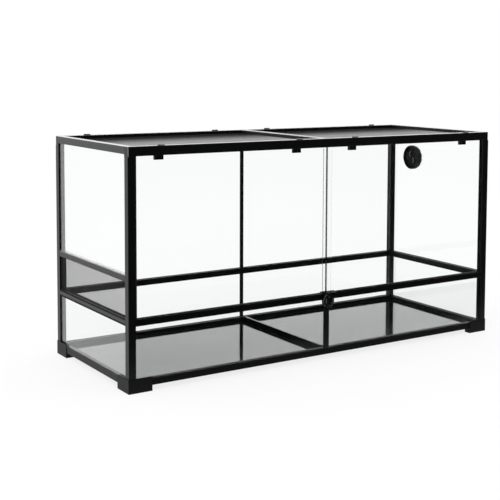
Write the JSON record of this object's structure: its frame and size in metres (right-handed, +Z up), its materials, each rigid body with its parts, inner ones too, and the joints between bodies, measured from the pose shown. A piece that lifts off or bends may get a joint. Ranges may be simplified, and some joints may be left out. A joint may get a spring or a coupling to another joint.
{
  "type": "reptile terrarium",
  "caption": "Long glass reptile terrarium in black extruded rails, with sliding front doors and a lock, lift-off mesh lids, a side vent and a cable port",
  "frame": {"origin": "middle of the base, at the undersides of the feet", "axes": "+X to the right as seen from the front, along the length; +Y from the front doors to the back; +Z up"},
  "size_m": [1.194, 0.4664, 0.6097],
  "materials": {
    "black_extrusion": "satin",
    "black_moulding": "satin",
    "clear_glass": "clear",
    "steel_mesh": "matte",
    "bright_catch": "brushed",
    "steel_bolt": "brushed",
    "dark_screws": "satin",
    "seal_rubber": "matte"
  },
  "bodies": {
    "case": {"front_left_post": "black_extrusion", "front_right_post": "black_extrusion", "rear_left_post": "black_extrusion", "rear_right_post": "black_extrusion", "rear_centre_bar": "black_extrusion", "front_centre_bar": "black_extrusion", "top_corner_caps": "black_moulding", "front_left_foot": "black_moulding", "front_right_foot": "black_moulding", "rear_left_foot": "black_moulding", "rear_right_foot": "black_moulding", "front_top_rail": "black_extrusion", "rear_top_rail": "black_extrusion", "left_top_rail": "black_extrusion", "right_top_rail": "black_extrusion", "top_cross_rail": "black_extrusion", "front_mid_rail": "black_extrusion", "rear_mid_rail": "black_extrusion", "left_mid_rail": "black_extrusion", "right_mid_rail": "black_extrusion", "left_vent_rail": "black_extrusion", "front_base_rail": "black_extrusion", "rear_base_rail": "black_extrusion", "left_base_rail": "black_extrusion", "right_base_rail": "black_extrusion", "floor_cross_rail": "black_extrusion", "rear_upper_left_glass": "clear_glass", "rear_upper_right_glass": "clear_glass", "rear_lower_glass": "clear_glass", "left_upper_glass": "clear_glass", "right_upper_glass": "clear_glass", "side_lower_glass": "clear_glass", "front_lower_glass": "clear_glass", "floor_glass": "clear_glass", "vent_mesh": "steel_mesh", "door_seals": "seal_rubber", "lock_housing": "black_extrusion", "latch_keepers": "black_extrusion", "latch_screws": "dark_screws", "port_flange": "black_moulding", "port_nut": "black_moulding"},
    "left_door": {"left_door_glass": "clear_glass", "left_door_catch": "black_moulding"},
    "right_door": {"right_door_glass": "clear_glass", "right_door_catch": "bright_catch"},
    "left_lid": {"left_lid_frame": "black_extrusion", "left_lid_mesh": "steel_mesh"},
    "right_lid": {"right_lid_frame": "black_extrusion", "right_lid_mesh": "steel_mesh"},
    "lock_knob": {"lock_knob": "black_moulding"},
    "lock_bolt": {"lock_bolt": "steel_bolt"},
    "port_shutter": {"port_shutter": "black_moulding"},
    "front_latch_1": {"front_latch_1": "black_moulding"},
    "front_latch_2": {"front_latch_2": "black_moulding"},
    "front_latch_3": {"front_latch_3": "black_moulding"},
    "front_latch_4": {"front_latch_4": "black_moulding"},
    "rear_latch_1": {"rear_latch_1": "black_moulding"},
    "rear_latch_2": {"rear_latch_2": "black_moulding"},
    "rear_latch_3": {"rear_latch_3": "black_moulding"},
    "rear_latch_4": {"rear_latch_4": "black_moulding"}
  },
  "joints": [
    {"name": "left_door_slide", "type": "slide", "parent": "case", "child": "left_door", "axis": [1, 0, 0], "range_m": [0, 0.545]},
    {"name": "right_door_slide", "type": "slide", "parent": "case", "child": "right_door", "axis": [-1, 0, 0], "range_m": [0, 0.56]},
    {"name": "left_lid_lift", "type": "slide", "parent": "case", "child": "left_lid", "axis": [0, 0, 1], "range_m": [0, 0.15]},
    {"name": "right_lid_lift", "type": "slide", "parent": "case", "child": "right_lid", "axis": [0, 0, 1], "range_m": [0, 0.15]},
    {"name": "front_latch_1_turn", "type": "hinge", "parent": "case", "child": "front_latch_1", "pos_m": [-0.5115, -0.224, 0.6085], "axis": [0, 0, 1], "range_deg": [0, 90]},
    {"name": "front_latch_2_turn", "type": "hinge", "parent": "case", "child": "front_latch_2", "pos_m": [-0.0855, -0.224, 0.6085], "axis": [0, 0, -1], "range_deg": [0, 90]},
    {"name": "front_latch_3_turn", "type": "hinge", "parent": "case", "child": "front_latch_3", "pos_m": [0.0855, -0.224, 0.6085], "axis": [0, 0, 1], "range_deg": [0, 90]},
    {"name": "front_latch_4_turn", "type": "hinge", "parent": "case", "child": "front_latch_4", "pos_m": [0.5115, -0.224, 0.6085], "axis": [0, 0, -1], "range_deg": [0, 90]},
    {"name": "rear_latch_1_turn", "type": "hinge", "parent": "case", "child": "rear_latch_1", "pos_m": [-0.5115, 0.224, 0.6085], "axis": [0, 0, -1], "range_deg": [0, 90]},
    {"name": "rear_latch_2_turn", "type": "hinge", "parent": "case", "child": "rear_latch_2", "pos_m": [-0.0855, 0.224, 0.6085], "axis": [0, 0, 1], "range_deg": [0, 90]},
    {"name": "rear_latch_3_turn", "type": "hinge", "parent": "case", "child": "rear_latch_3", "pos_m": [0.0855, 0.224, 0.6085], "axis": [0, 0, -1], "range_deg": [0, 90]},
    {"name": "rear_latch_4_turn", "type": "hinge", "parent": "case", "child": "rear_latch_4", "pos_m": [0.5115, 0.224, 0.6085], "axis": [0, 0, 1], "range_deg": [0, 90]},
    {"name": "knob_turn", "type": "hinge", "parent": "case", "child": "lock_knob", "pos_m": [0.001, -0.235, 0.163], "axis": [0, -1, 0], "range_deg": [0, 90]},
    {"name": "bolt_lift", "type": "slide", "parent": "case", "child": "lock_bolt", "axis": [0, 0, 1], "range_m": [0, 0.00848]},
    {"name": "shutter_turn", "type": "hinge", "parent": "case", "child": "port_shutter", "pos_m": [0.5835, 0.11, 0.506], "axis": [1, 0, 0], "range_deg": [0, 90]}
  ],
  "couplings": [
    {"joint": "knob_turn", "follows": "bolt_lift", "rad_per_m": 185.12}
  ]
}
